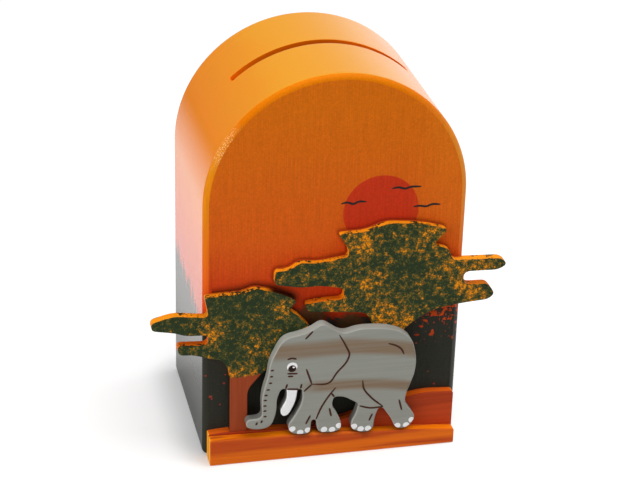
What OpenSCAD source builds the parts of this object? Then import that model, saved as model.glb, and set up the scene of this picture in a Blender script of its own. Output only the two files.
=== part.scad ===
/* [Body] */
// Width of the box across its sides
body_w = 115; // [105:1:130]
// Depth of the box from the front panel to the back panel
body_d = 79; // [70:1:95]
// Height of the box to the crown of the arch
body_h = 178; // [170:1:200]
// Thickness of the front and back panels
panel_t = 5.5; // [4.5:0.5:8]
// Wall thickness of the laminated frames
wall_t = 10; // [9:0.5:13]
// Thickness of the base board
base_t = 8; // [7:0.5:11]
// Radius of the softened outer edges
edge_r = 2.5; // [1:0.25:3]

/* [Coin slot] */
// Width of the coin slot
slot_w = 4.3; // [4.1:0.1:6]
// Angle between the ends of the slot, seen from the centre of the arch
slot_angle = 85; // [60:1:100]

/* [Bung] */
// Diameter of the hole in the base board
bung_hole_d = 30; // [26:1:34]
// Width of the flange that stands out round the stem
bung_flange_w = 3; // [2:0.5:5]
// Thickness of the flange
bung_flange_t = 2.5; // [2:0.25:3.5]
// Length of the stem above the flange
bung_stem_h = 10; // [8:0.5:14]
// Thickness of the rubber wall
bung_wall_t = 2.5; // [1.5:0.25:3.5]

/* [Dowels] */
// Diameter of the dowels that line up the frames
dowel_d = 5; // [4:0.5:6]
// How far each dowel reaches into the panels
dowel_bite = 3; // [2:0.5:4]

/* [Cut-outs] */
// Thickness of each layer of the scene on the front
cutout_t = 4.5; // [3:0.5:6]
// Width of the two ground strips
ground_w = 111.5; // [104:0.5:114]

/* [Hidden] */
$fn = 96;

// Colours of the wood, the paint and the rubber
bare_wood = "#d9b98a";
sky_orange = "#d8741c";
ground_brown = "#b8541b";
leaf_green = "#3d4424";
animal_grey = "#8b8c84";
rubber_black = "#2a2a2a";

// Arch, chamber and frames
arch_r = body_w / 2;
arch_z = body_h - arch_r;
inner_r = arch_r - wall_t;
frame_count = 4;
frame_t = (body_d - 2 * panel_t) / frame_count;

// The whole object is centred in depth, and its front faces -Y
total_d = body_d + 2 * cutout_t;
front_y = 2 * cutout_t - total_d / 2;
rear_y = total_d / 2;
chamber_y = front_y + panel_t;
slot_y = (front_y + rear_y) / 2;

// Bung and its seat
bung_gap = 0.1;
bung_sink = 0.5;
seat_gap = 0.5;
bung_hole_r = bung_hole_d / 2;
flange_r = bung_hole_r + bung_flange_w;
seat_z = bung_sink + bung_flange_t;
stem_r = bung_hole_r - bung_gap;
stem_taper = 1.4;

// Dowels in the legs of the frames
dowel_x = arch_r - wall_t / 2;
dowel_zs = [25, arch_z - 10];
dowel_len = body_d - 2 * panel_t + 2 * dowel_bite;

// The scene is drawn for a box of this width and follows the width of the box
scene_w = 115;
scene_k = body_w / scene_w;

// Every outline point is [x, z, ease]: the corner is eased away over that length of both its sides
curve_steps = 5;
small_steps = 3;
small_ease = 1.5;

// Tips of the two trees, which set how far the scene overhangs the sides
left_tip = -80.5;
right_tip = 76;
body_x = -scene_k * (left_tip + right_tip) / 2;

// Tops of the two ground strips at their ends
front_ground_left = 12.8;
front_ground_right = 7;
rear_ground_left = 13.2;
rear_ground_right = 23.8;
ground_half = ground_w / 2 / scene_k;

front_ground_points = [
    [-ground_half, 0, 0], [-ground_half, front_ground_left, 0.8], [-30, 12, 20], [-4, 12, 20],
    [18, 9.6, 20], [38, 8.8, 20], [ground_half, front_ground_right, 0.8], [ground_half, 0, 0]
];

rear_ground_points = [
    [-ground_half, 0, 0], [-ground_half, rear_ground_left, 0.8], [-44, 14.1, 8], [-8, 11.5, 16],
    [41, 25.2, 14], [ground_half, rear_ground_right, 0.8], [ground_half, 0, 0]
];

// The trunks run down into the rear ground and are cut off along its top
trunk_foot = 10;
small_trunk_left = -46.3;
small_trunk_right = -38.4;

small_tree_points = [
    [left_tip, 71.2, 1.6], [left_tip, 67.6, 1.4], [-70, 65.6, 6], [-66, 63.9, 4],
    [-55.6, 63.4, 3], [-55.9, 58.4, 3], [-69.3, 59.2, 1.4], [-69, 54.5, 2.4],
    [-62, 54.3, 4], [-56, 51.8, 4], [-50, 50.8, 4], [-46.4, 44.5, 3],
    [small_trunk_left, trunk_foot, 0], [small_trunk_right, trunk_foot, 0],
    [-38.6, 34.6, 3], [-32.5, 42, 3], [-29, 45, 3], [-27, 54, 5], [-10.5, 62.6, 1.5],
    [-17, 69.6, 2], [-21, 72.3, 1.6], [-17, 76.6, 1.8], [-26, 81.4, 6], [-36, 84, 4],
    [-40, 82, 3], [-57.6, 81.2, 1.6], [-56.4, 76, 2], [-55.8, 71.8, 3], [-64, 72.7, 5], [-70.5, 73.8, 4]
];

large_trunk_left = 18.5;
large_trunk_right = 28.5;

large_tree_points = [
    [0.2, 106.8, 1.5], [13, 107, 5], [21, 110.6, 5], [38, 108.9, 8], [49, 105.6, 2.2],
    [42, 98.6, 3], [49.6, 96.1, 1.8], [51.4, 90.4, 2.4], [73.4, 89.5, 2.2],
    [right_tip, 87.6, 1], [right_tip, 86, 1], [72.5, 84.1, 3], [56.6, 84.5, 3.4], [57.4, 77.8, 3.2],
    [68.3, 77.5, 1.8], [72, 72.4, 2], [69, 69.8, 3], [56, 68.9, 6], [44, 67.2, 6], [35, 61.8, 5],
    [28.8, 56, 5], [large_trunk_right, trunk_foot, 0], [large_trunk_left, trunk_foot, 0],
    [18.2, 60, 5], [13.6, 68.2, 3], [-12.6, 70.9, 1.4], [-13.4, 74.3, 1.2], [-5, 75.4, 3],
    [3.8, 75.3, 2.6], [3.4, 81, 3], [-8, 83.2, 4], [-15, 82.7, 4], [-27.4, 85.2, 2], [-27, 91.4, 1.6],
    [-20.6, 91.4, 2.6], [-16.5, 94.8, 3], [-8, 93.6, 5], [5.2, 95.7, 2.4], [4.8, 99.8, 3]
];

elephant_points = [
    [-6.4, 67.2, 3], [-13.4, 62.8, 4], [-24, 61, 4], [-29.6, 49.4, 4], [-30.2, 43, 6], [-33.2, 32.5, 6],
    [-32.4, 21.6, 3.4], [-39.6, 21.8, 2], [-40, 17.9, 3], [-34.6, 16.2, 4], [-28.6, 17.3, 4],
    [-26.3, 24.6, 5], [-26.4, 31, 4], [-24.6, 36, 1.4], [-22, 36, 0.6],
    [-21.6, 31, 4], [-24.9, 24.6, 2], [-23.4, 21.8, 1.4], [-21, 22.6, 1.6], [-17.8, 29, 4],
    [-17.1, 35.4, 0.5], [-14.9, 35, 0.8], [-14.6, 28.4, 4], [-18.4, 21, 4], [-21.2, 17, 2.2], [-20, 13.2, 3],
    [-15.2, 11.7, 4], [-11, 12, 2.4], [-10.5, 18.9, 1], [-8.3, 18.9, 1], [-7.7, 12.4, 2.6], [-2.4, 11.3, 4],
    [3.6, 12.3, 3], [2.6, 18.2, 3], [-1.6, 25.6, 3], [-0.6, 29.8, 1.6], [4, 29.4, 3], [10.8, 25, 0.8],
    [10, 20.4, 2.4], [7.5, 15.6, 2.4], [8, 11.9, 2.8], [13.4, 9.8, 4], [17.8, 10.8, 3], [18.4, 17.5, 4],
    [20, 21.9, 0.8], [22, 21.9, 0.8], [26.5, 15, 2.6], [28.2, 10.3, 2.4], [33.8, 10, 3.4], [37.5, 15.4, 2.6],
    [31.8, 23.8, 3], [32.4, 28, 4], [37.2, 42, 9], [33.7, 57, 10], [24, 62, 9], [10, 63, 6], [2.6, 60.8, 4],
    [-2.4, 64.2, 4]
];

function flat(p) = [p[0], p[1]];
function unit(v) = v / norm(v);
function bend(a, b, c, t) = (1 - t) ^ 2 * a + 2 * t * (1 - t) * b + t ^ 2 * c;

// Curve that replaces the corner at c, between its neighbours a and b
function eased_corner(a, c, b) =
    let (
        to_a = flat(a) - flat(c),
        to_b = flat(b) - flat(c),
        ease = min(c[2], norm(to_a) / 2, norm(to_b) / 2),
        steps = ease > small_ease ? curve_steps : small_steps,
        start = flat(c) + ease * unit(to_a),
        stop = flat(c) + ease * unit(to_b)
    )
    ease == 0 ? [flat(c)] : [for (i = [0 : steps]) bend(start, flat(c), stop, i / steps)];

function eased(points) =
    let (n = len(points))
    [for (i = [0 : n - 1]) each eased_corner(points[(i + n - 1) % n], points[i], points[(i + 1) % n])];

// Upright board whose back face lies at y, cut to a flat outline drawn as seen from the front
module board(y, t) {
    translate([body_x, y, 0]) rotate([90, 0, 0]) linear_extrude(t) children();
}

module cutout(y, points) {
    board(y, cutout_t) scale(scene_k) polygon(eased(points));
}

module arch_outline() {
    translate([0, arch_z]) circle(arch_r);
    translate([-arch_r, edge_r]) square([2 * arch_r, arch_z - edge_r]);
    translate([edge_r - arch_r, 0]) square([2 * (arch_r - edge_r), edge_r]);
    for (side = [-1, 1]) translate([side * (arch_r - edge_r), edge_r]) circle(edge_r);
}

module frame_outline() {
    difference() {
        arch_outline();
        translate([0, arch_z]) circle(inner_r);
        translate([-inner_r, -1]) square([2 * inner_r, arch_z + 1]);
    }
}

// Wedge from the centre of the arch, which gives the slot its square ends
module slot_wedge() {
    reach = 2 * arch_r;
    side = reach * sin(slot_angle / 2);
    top = reach * cos(slot_angle / 2);
    translate([0, arch_z]) polygon([[0, 0], [side, top], [-side, top]]);
}

// Half section of a panel, from its middle to its rounded-over edge
module panel_section() {
    square([arch_r, panel_t - edge_r]);
    square([arch_r - edge_r, panel_t]);
    translate([arch_r - edge_r, panel_t - edge_r]) circle(edge_r);
}

// Arched panel lying on its inner face, with the outer edge rounded over
module panel() {
    intersection() {
        linear_extrude(panel_t) arch_outline();
        translate([0, arch_z, 0]) {
            rotate_extrude(angle = 180) panel_section();
            rotate([90, 0, 0]) linear_extrude(arch_z) {
                panel_section();
                mirror([1, 0]) panel_section();
            }
        }
    }
}

module dowels() {
    for (side = [-1, 1], z = dowel_zs)
        translate([body_x + side * dowel_x, chamber_y - dowel_bite, z])
            rotate([-90, 0, 0]) cylinder(d = dowel_d, h = dowel_len);
}

// Frames are counted from the front
module frame(number, slotted) {
    difference() {
        board(chamber_y + number * frame_t, frame_t) frame_outline();
        dowels();
        if (slotted) board(slot_y + slot_w / 2, slot_w) slot_wedge();
    }
}

module front_panel() {
    color(sky_orange) difference() {
        translate([body_x, chamber_y, 0]) rotate([90, 0, 0]) panel();
        dowels();
    }
}

module back_panel() {
    color(sky_orange) difference() {
        translate([body_x, rear_y - panel_t, 0]) mirror([0, 1, 0]) rotate([90, 0, 0]) panel();
        dowels();
    }
}

module front_frame() { color(sky_orange) frame(1, false); }

module mid_front_frame() { color(sky_orange) frame(2, true); }

module mid_rear_frame() { color(sky_orange) frame(3, true); }

module rear_frame() { color(sky_orange) frame(4, false); }

// The base board has a stepped hole, so that the flange of the bung lies below its face
module base_board() {
    color(bare_wood) difference() {
        translate([body_x - inner_r, chamber_y, 0]) cube([2 * inner_r, frame_count * frame_t, base_t]);
        translate([body_x, slot_y, -1]) {
            cylinder(r = bung_hole_r, h = base_t + 2);
            cylinder(r = flange_r + seat_gap, h = seat_z + 1);
        }
    }
}

// Rubber cup with a flange at its foot and a stem that narrows above the base board
module bung() {
    stem_top = seat_z + bung_stem_h;
    color(rubber_black) translate([body_x, slot_y, 0]) rotate_extrude() polygon([
        [0, bung_sink], [flange_r, bung_sink], [flange_r, seat_z], [stem_r, seat_z], [stem_r, base_t],
        [stem_r - stem_taper, stem_top], [stem_r - stem_taper - bung_wall_t, stem_top],
        [stem_r - bung_wall_t, base_t], [stem_r - bung_wall_t, seat_z], [0, seat_z]
    ]);
}

module frame_dowels() { color(bare_wood) dowels(); }

module rear_ground() { color(ground_brown) cutout(front_y, rear_ground_points); }

module small_tree() {
    color(leaf_green) difference() {
        cutout(front_y, small_tree_points);
        cutout(front_y, rear_ground_points);
    }
}

module large_tree() {
    color(leaf_green) difference() {
        cutout(front_y, large_tree_points);
        cutout(front_y, rear_ground_points);
    }
}

module front_ground() { color(ground_brown) cutout(front_y - cutout_t, front_ground_points); }

module elephant() {
    color(animal_grey) difference() {
        cutout(front_y - cutout_t, elephant_points);
        cutout(front_y - cutout_t, front_ground_points);
    }
}

front_panel();
front_frame();
mid_front_frame();
mid_rear_frame();
rear_frame();
back_panel();
base_board();
bung();
frame_dowels();
rear_ground();
small_tree();
large_tree();
front_ground();
elephant();
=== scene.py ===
import math

import bmesh
import bpy
import numpy as np
from mathutils import Matrix, Vector
from mathutils.geometry import delaunay_2d_cdt


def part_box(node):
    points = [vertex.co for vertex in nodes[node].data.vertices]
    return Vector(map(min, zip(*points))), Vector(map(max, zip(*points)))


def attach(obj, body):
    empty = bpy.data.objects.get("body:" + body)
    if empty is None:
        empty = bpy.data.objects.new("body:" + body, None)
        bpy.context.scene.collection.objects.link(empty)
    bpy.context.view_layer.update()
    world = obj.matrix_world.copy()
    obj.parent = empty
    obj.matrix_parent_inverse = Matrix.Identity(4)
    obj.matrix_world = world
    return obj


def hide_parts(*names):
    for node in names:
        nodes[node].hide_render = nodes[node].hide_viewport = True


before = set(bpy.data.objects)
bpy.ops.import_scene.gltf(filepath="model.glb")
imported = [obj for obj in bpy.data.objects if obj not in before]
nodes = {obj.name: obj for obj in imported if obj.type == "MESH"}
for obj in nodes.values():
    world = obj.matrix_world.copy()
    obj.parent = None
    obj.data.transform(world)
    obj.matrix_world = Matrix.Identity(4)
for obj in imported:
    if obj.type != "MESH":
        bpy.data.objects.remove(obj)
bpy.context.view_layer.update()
scene = bpy.context.scene
scene.view_settings.view_transform = "Standard"
mm = 0.001
weld = 1e-6  # points closer than this are one
print("frame loaded:", len(nodes), "nodes")

panelLow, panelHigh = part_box("front_panel")
baseLow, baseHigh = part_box("base_board")
bodyX = (panelLow.x + panelHigh.x) / 2
archR = (panelHigh.x - panelLow.x) / 2
archZ = panelHigh.z - archR
innerR = (baseHigh.x - baseLow.x) / 2
bodyH = panelHigh.z


# Camera and light

cameraPlace = {
    "position": (-0.178236, -0.754764, 0.468016),
    "azimuth": -13.5503,  # degrees, negative is to the left of the front
    "elevation": 26.2469,
    "roll": 1.7773,
    "lens": 108.77,
}


def addCamera(place):
    data = bpy.data.cameras.new("camera")
    data.sensor_width = 36
    data.lens = place["lens"]
    data.clip_start = 0.01
    camera = bpy.data.objects.new("camera", data)
    scene.collection.objects.link(camera)
    turn = Matrix.Rotation(math.radians(place["azimuth"]), 4, "Z")
    tilt = Matrix.Rotation(math.radians(90 - place["elevation"]), 4, "X")
    roll = Matrix.Rotation(math.radians(place["roll"]), 4, "Z")
    camera.matrix_world = Matrix.Translation(place["position"]) @ turn @ tilt @ roll
    scene.camera = camera


softboxes = {
    "topSoftbox": {
        "position": (0.26, -0.06, 0.95), "aim": (0, 0, 0.1), "size": 0.9, "power": 8.2, "mirrored": True,
    },
    "leftSoftbox": {
        "position": (-0.95, -0.45, 0.40), "aim": (0, 0, 0.08), "size": 0.8, "power": 6.4, "mirrored": False,
    },
}


def addSoftboxes(boxes):
    for name, box in boxes.items():
        data = bpy.data.lights.new(name, "AREA")
        data.size = box["size"]
        data.energy = box["power"]
        light = bpy.data.objects.new(name, data)
        scene.collection.objects.link(light)
        light.location = box["position"]
        light.visible_glossy = box["mirrored"]
        aim = Vector(box["aim"]) - Vector(box["position"])
        light.rotation_euler = aim.to_track_quat("-Z", "Y").to_euler()


# Node helpers

def addNode(tree, kind, values=None, **settings):
    made = tree.nodes.new(kind)
    for key, value in settings.items():
        setattr(made, key, value)
    for key, value in (values or {}).items():
        if isinstance(value, bpy.types.NodeSocket):
            tree.links.new(value, made.inputs[key])
        else:
            made.inputs[key].default_value = value
    return made


def calc(tree, operation, *values, clamp=False):
    made = addNode(tree, "ShaderNodeMath", dict(enumerate(values)), operation=operation, use_clamp=clamp)
    return made.outputs[0]


def times(tree, first, second):
    return calc(tree, "MULTIPLY", first, second)


def mulAdd(tree, value, factor, added, clamp=False):
    return calc(tree, "MULTIPLY_ADD", value, factor, added, clamp=clamp)


def minus(tree, first, second, clamp=False):
    return calc(tree, "SUBTRACT", first, second, clamp=clamp)


def gapTo(tree, value, middle):
    return calc(tree, "ABSOLUTE", minus(tree, value, middle))


def axesOf(tree, vector):
    return addNode(tree, "ShaderNodeSeparateXYZ", {0: vector}).outputs


def vectorCalc(tree, operation, *values, result=0):
    made = addNode(tree, "ShaderNodeVectorMath", dict(enumerate(values)), operation=operation)
    return made.outputs[result]


def noise(tree, vector, scale, detail=3.0, roughness=0.55):
    values = {"Vector": vector, "Scale": scale, "Detail": detail, "Roughness": roughness}
    return addNode(tree, "ShaderNodeTexNoise", values).outputs[0]


def ease(tree, value, low, high):  # 0 at low, 1 at high, smooth between
    values = {"Value": value, "From Min": low, "From Max": high}
    return addNode(tree, "ShaderNodeMapRange", values, interpolation_type="SMOOTHSTEP").outputs[0]


def blend(tree, factor, first, second, mode="MIX"):
    made = addNode(tree, "ShaderNodeMix", data_type="RGBA", blend_type=mode)
    for slot, value in ((0, factor), (6, first), (7, second)):
        if isinstance(value, bpy.types.NodeSocket):
            tree.links.new(value, made.inputs[slot])
        elif slot == 0:
            made.inputs[slot].default_value = value
        else:
            made.inputs[slot].default_value = (*value, 1)
    return made.outputs[2]


def ramp(tree, value, stops):
    made = addNode(tree, "ShaderNodeValToRGB", {"Fac": value})
    band = made.color_ramp.elements
    while len(band) < len(stops):
        band.new(0.5)
    for element, (place, color) in zip(band, stops):
        element.position = place
        element.color = (*color, 1)
    return made.outputs[0]


def newGroup(name, inputs, outputs):
    tree = bpy.data.node_groups.new(name, "ShaderNodeTree")
    for label, kind, value in inputs:
        socket = tree.interface.new_socket(label, in_out="INPUT", socket_type="NodeSocket" + kind)
        if value is not None:
            socket.default_value = value
    for label, kind in outputs:
        tree.interface.new_socket(label, in_out="OUTPUT", socket_type="NodeSocket" + kind)
    return tree, tree.nodes.new("NodeGroupInput").outputs, tree.nodes.new("NodeGroupOutput").inputs


def useGroup(tree, group, **values):
    return addNode(tree, "ShaderNodeGroup", values, node_tree=group).outputs


def newMaterial(name):
    material = bpy.data.materials.new(name)
    material.use_nodes = True
    tree = material.node_tree
    tree.nodes.clear()
    surface = addNode(tree, "ShaderNodeBsdfPrincipled")
    output = addNode(tree, "ShaderNodeOutputMaterial", {"Surface": surface.outputs[0]})
    output.is_active_output = True
    place = addNode(tree, "ShaderNodeTexCoord").outputs["Object"]
    return material, tree, surface.inputs, place


def nearSpot(tree, vector, x, z, far, near):  # 1 within near of a point on the front, 0 beyond far, in mm
    way = vectorCalc(tree, "SUBTRACT", vector, (bodyX + x * mm, 0, z * mm))
    reach = vectorCalc(tree, "LENGTH", vectorCalc(tree, "MULTIPLY", way, (1, 0, 1)), result=1)
    return ease(tree, reach, far * mm, near * mm)


def setBump(tree, inputs, height, distance, strength=1.0):
    values = {"Height": height, "Distance": distance, "Strength": strength}
    tree.links.new(addNode(tree, "ShaderNodeBump", values).outputs[0], inputs["Normal"])


def setSurface(tree, surface, color, roughness, specular):
    tree.links.new(color, surface["Base Color"])
    surface["Roughness"].default_value = roughness
    surface["Specular IOR Level"].default_value = specular


def attribute(tree, name):
    return addNode(tree, "ShaderNodeAttribute", attribute_name=name).outputs["Fac"]


# Shared paint and wood effects

def grainGroup():  # fibres that run along the Z of the vector
    tree, given, put = newGroup(
        "woodGrain",
        [("Vector", "Vector", None), ("Scale", "Float", 900.0)],
        [("Lines", "Float"), ("Figure", "Float")])
    drawn = vectorCalc(tree, "MULTIPLY", given["Vector"], (1, 1, 0.022))
    fine = noise(tree, drawn, given["Scale"], 4, 0.62)
    wide = noise(tree, drawn, times(tree, given["Scale"], 0.13), 2, 0.5)
    tree.links.new(ease(tree, fine, 0.28, 0.72), put["Lines"])
    tree.links.new(ease(tree, wide, 0.3, 0.7), put["Figure"])
    return tree


def spongeGroup():  # mask of paint dabbed on with a sponge
    tree, given, put = newGroup(
        "spongeDabs",
        [("Vector", "Vector", None), ("Scale", "Float", 500.0), ("Cover", "Float", 0.5),
         ("Softness", "Float", 0.06)],
        [("Mask", "Float")])
    holes = noise(tree, given["Vector"], given["Scale"], 5, 0.75)
    patches = noise(tree, given["Vector"], times(tree, given["Scale"], 0.3), 2, 0.5)
    mixed = calc(tree, "ADD", times(tree, holes, 0.80), mulAdd(tree, patches, 0.60, -0.20))
    level = mulAdd(tree, given["Cover"], -0.32, 0.66)
    low = minus(tree, level, given["Softness"])
    high = calc(tree, "ADD", level, given["Softness"])
    tree.links.new(ease(tree, mixed, low, high), put["Mask"])
    return tree


def brushGroup():  # mask of dark paint below a level, with brush streaks and sponge specks along its border
    tree, given, put = newGroup(
        "brushBorder",
        [("Vector", "Vector", None), ("Level", "Float", 0.06), ("Streak", "Float", 0.01),
         ("Speck", "Float", 0.01)],
        [("Mask", "Float")])
    height = axesOf(tree, given["Vector"])["Z"]
    drawn = vectorCalc(tree, "MULTIPLY", given["Vector"], (1, 1, 0.03))
    streak = minus(tree, noise(tree, drawn, 330, 4, 0.7), 0.5)
    speck = minus(tree, noise(tree, given["Vector"], 520, 4, 0.66), 0.5)
    raised = mulAdd(tree, streak, given["Streak"], given["Level"])
    raised = mulAdd(tree, speck, given["Speck"], raised)
    tree.links.new(ease(tree, minus(tree, raised, height), -0.0004, 0.0004), put["Mask"])
    return tree


def turnedGrain(tree, place, turn, scale):
    along = addNode(tree, "ShaderNodeMapping", {"Vector": place, "Rotation": turn}).outputs[0]
    return useGroup(tree, woodGrain, Vector=along, Scale=scale)


def heightShare(tree, place, height):  # height as a share of the box, with a slow drift
    drift = mulAdd(tree, noise(tree, place, 22), 0.10, -0.05)
    return calc(tree, "ADD", calc(tree, "DIVIDE", height, bodyH), drift)


woodGrain = grainGroup()
spongeDabs = spongeGroup()
brushBorder = brushGroup()


# Stained and painted finishes

sunset = {
    "high": (0.69, 0.155, 0.006),
    "upper": (0.695, 0.137, 0.008),
    "middle": (0.695, 0.108, 0.010),
    "low": (0.63, 0.060, 0.010),
    "horizon": (0.52, 0.036, 0.008),
    "night": (0.0345, 0.0348, 0.0268),
    "nightLevel": (63.5, 3.5),  # height of the dark paint's border and how much it rises where it is rough
    "nightStreak": 6,
    "nightSpeck": (15, 45),
    "sideLevel": 66,
    "sideStreak": 50,
    "sideSpeck": 6,
    "fleckX": (28, 38),  # the red flecks set in between these
    "fleckZ": (46, 54),
    "fleckDenser": (56, 65),
    # painted shade: dark brown beside the cut-outs, where their shadow falls
    "shadeTone": (0.042, 0.0135, 0.005),
    "paintedLightRight": (1.0, 0.38, 0.02),  # painted light: paler towards the right edge, where the lamps light the panel less
    "rounding": [(0.40, (0.70, 0.066, 0.008)), (0.50, (0.80, 0.131, 0.010)), (0.59, (0.80, 0.187, 0.009)),
                 (0.66, (0.80, 0.236, 0.008)), (0.78, (0.78, 0.250, 0.006)), (0.90, (0.77, 0.178, 0.001)),
                 (1.00, (0.77, 0.200, 0.002))],
    "side": [(0.40, (0.76, 0.085, 0.012)), (0.52, (0.86, 0.15, 0.012)), (0.66, (0.94, 0.25, 0.010)),
             (0.84, (0.94, 0.27, 0.012)), (0.94, (0.82, 0.29, 0.016)), (0.985, (0.80, 0.33, 0.018))],
    "slot": (0.92, 0.165, 0.002),
    "paintedHighlight": (1.0, 0.75, 0.36),  # painted highlight: pale specks on the rounding
    "highlightSpot": (-49, 149),
    "highlightReach": (13, 4),
    "brownAndShade": (0.11, 0.052, 0.020),
    "brownAndShadeSpots": [(-10, 66.5, 8), (8, 60, 8)],  # x, height and radius of the brown paint and painted shadow under the large tree's branch, above the elephant
    "sun": (0.58, 0.040, 0.011),
    "sunCentre": (19.4, 114.7),  # mm from the middle of the box and from its foot
    "sunRadius": 16.6,
}


def nightMask(tree, place, level, streak, speck):
    return useGroup(tree, brushBorder, Vector=place, Level=level, Streak=streak, Speck=speck)["Mask"]


def shaded(tree, color, lines, depth):  # darkens a colour where the lines or the mottle are high
    shade = mulAdd(tree, lines, -depth, 1.0 + depth / 2)
    grey = addNode(tree, "ShaderNodeCombineColor", {0: shade, 1: shade, 2: shade}).outputs[0]
    return blend(tree, 1.0, color, grey, "MULTIPLY")


def panelStain(name, isFront):
    material, tree, surface, place = newMaterial(name)
    grain = useGroup(tree, woodGrain, Vector=place, Scale=2200.0)
    axes = axesOf(tree, place)
    share = heightShare(tree, place, axes["Z"])
    stops = [(0.36, sunset["horizon"]), (0.48, sunset["low"]), (0.58, sunset["middle"]),
             (0.78, sunset["upper"]), (0.93, sunset["high"])]
    color = ramp(tree, share, stops)
    rim = ease(tree, attribute(tree, "rim"), 0.0, 0.5)
    if isFront:
        x, z = sunset["sunCentre"]
        edge = sunset["sunRadius"]
        color = blend(tree, nearSpot(tree, place, x, z, edge + 0.3, edge - 0.3), color, sunset["sun"])
    color = blend(tree, rim, color, ramp(tree, share, sunset["rounding"]))
    # painted contact shade on the panel beside the trees and the elephant
    color = blend(tree, attribute(tree, "paintedShade"), color, sunset["shadeTone"])
    right = ease(tree, axes["X"], bodyX + 28 * mm, bodyX + 50 * mm)
    # painted light towards the right edge
    color = blend(tree, times(tree, right, 0.1), color, sunset["paintedLightRight"])
    rough = right if isFront else ease(tree, noise(tree, place, 30, 1), 0.45, 0.65)
    border, rise = sunset["nightLevel"]
    level = mulAdd(tree, rough, rise * mm, border * mm)
    fewest, more = sunset["nightSpeck"]
    speck = mulAdd(tree, rough, more * mm, fewest * mm)
    night = nightMask(tree, place, level, sunset["nightStreak"] * mm, speck)
    if isFront:
        scattered = ease(tree, axes["X"], *[bodyX + x * mm for x in sunset["fleckX"]])
        scattered = times(tree, scattered, ease(tree, axes["Z"], *[z * mm for z in sunset["fleckZ"]]))
        denser = ease(tree, axes["Z"], *[z * mm for z in sunset["fleckDenser"]])
        flecks = ease(tree, mulAdd(tree, denser, 0.08, noise(tree, place, 430, 3)), 0.60, 0.64)
        night = minus(tree, night, times(tree, flecks, scattered), clamp=True)
    color = blend(tree, night, color, sunset["night"])
    if isFront:
        # brown sponged paint and painted shadow under the large tree's branch
        for x, z, radius in sunset["brownAndShadeSpots"]:
            brownAndShade = times(tree, nearSpot(tree, place, x, z, radius, 0.5 * radius), 0.95)
            color = blend(tree, brownAndShade, color, sunset["brownAndShade"])
        # painted highlight of pale specks on the rounding at the left shoulder
        paintedHighlight = nearSpot(tree, place, *sunset["highlightSpot"], *sunset["highlightReach"])
        paintedHighlight = times(tree, paintedHighlight, rim)
        highlightSpeckle = ease(tree, noise(tree, place, 2300, 2), 0.54, 0.66)
        color = blend(tree, times(tree, paintedHighlight, highlightSpeckle), color, sunset["paintedHighlight"])
    color = shaded(tree, color, grain["Lines"], 0.17)
    mottle = minus(tree, noise(tree, place, 1500, 2), 0.5)
    contrast = mulAdd(tree, rim, -1.3, 1.6)  # the rounding is smoother
    color = shaded(tree, color, mulAdd(tree, mottle, contrast, 0.5, clamp=True), 0.30)
    setSurface(tree, surface, color, 0.5, 0.03)
    varnish = ease(tree, axes["X"], bodyX + 20 * mm, bodyX + 55 * mm)  # lies thicker on the right edge
    varnish = times(tree, varnish, times(tree, rim, 0.5))
    tree.links.new(varnish, surface["Coat Weight"])
    surface["Coat Roughness"].default_value = 0.4
    setBump(tree, surface, grain["Lines"], 0.00004, 0.5)
    return material


def sideStain(name):
    material, tree, surface, place = newMaterial(name)
    grain = useGroup(tree, woodGrain, Vector=place, Scale=1600.0)
    axes = axesOf(tree, place)
    share = heightShare(tree, place, axes["Z"])
    color = shaded(tree, ramp(tree, share, sunset["side"]), grain["Lines"], 0.05)
    level = mulAdd(tree, axes["Y"], 0.09, sunset["sideLevel"] * mm)
    night = nightMask(tree, place, level, sunset["sideStreak"] * mm, sunset["sideSpeck"] * mm)
    tree.links.new(blend(tree, night, color, sunset["night"]), surface["Base Color"])
    matt = ease(tree, axes["Z"], 75 * mm, 5 * mm)  # the dark paint is thicker towards the foot
    tree.links.new(mulAdd(tree, matt, 0.10, 0.20), surface["Roughness"])
    surface["Specular IOR Level"].default_value = 0.25
    setBump(tree, surface, grain["Lines"], 0.00003, 0.3)
    return material


def cutStain(name):  # stain that soaked into the sawn edges of the slot
    material, tree, surface, place = newMaterial(name)
    fibres = noise(tree, vectorCalc(tree, "MULTIPLY", place, (1, 0.2, 1)), 1800, 3)
    across = axesOf(tree, place)["X"]
    across = gapTo(tree, across, bodyX - 12 * mm)
    soaked = times(tree, ease(tree, across, 34 * mm, 10 * mm), 0.6)
    soaked = mulAdd(tree, fibres, 0.2, soaked)
    deeper = tuple(0.5 * part for part in sunset["slot"])
    setSurface(tree, surface, blend(tree, soaked, sunset["slot"], deeper), 0.9, 0.0)
    setBump(tree, surface, fibres, 0.00006, 0.5)
    return material


bareWood = {"pale": (0.70, 0.50, 0.29), "dark": (0.52, 0.33, 0.17)}


def plainWood(name, turn):
    material, tree, surface, place = newMaterial(name)
    grain = turnedGrain(tree, place, turn, 900.0)
    color = blend(tree, grain["Figure"], bareWood["pale"], bareWood["dark"])
    color = blend(tree, times(tree, grain["Lines"], 0.35), color, bareWood["dark"])
    tree.links.new(color, surface["Base Color"])
    surface["Roughness"].default_value = 0.6
    setBump(tree, surface, grain["Lines"], 0.00005, 0.5)
    return material


groundTone = {
    "bright": (1.0, 0.236, 0.004),
    "ends": (1.0, 0.40, 0.008),
    "orange": (0.83, 0.172, 0.012),
    "brown": (0.84, 0.134, 0.010),
    "deep": (0.52, 0.064, 0.014),
    "shadowed": (0.38, 0.046, 0.013),
    # painted shadow round the elephant's feet
    "shadeTone": (0.055, 0.018, 0.007),
}
# Dark growth rings, in mm: height, half width, x where the ring is widest and how much it thins from there
frontRings = [(9.0, 3.8, -50, 0.032), (2.0, 1.5, 52, 0.035)]
rearRings = [(21.5, 4.5, 34, 0.05), (11.5, 2.5, -50, 0.04)]


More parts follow.
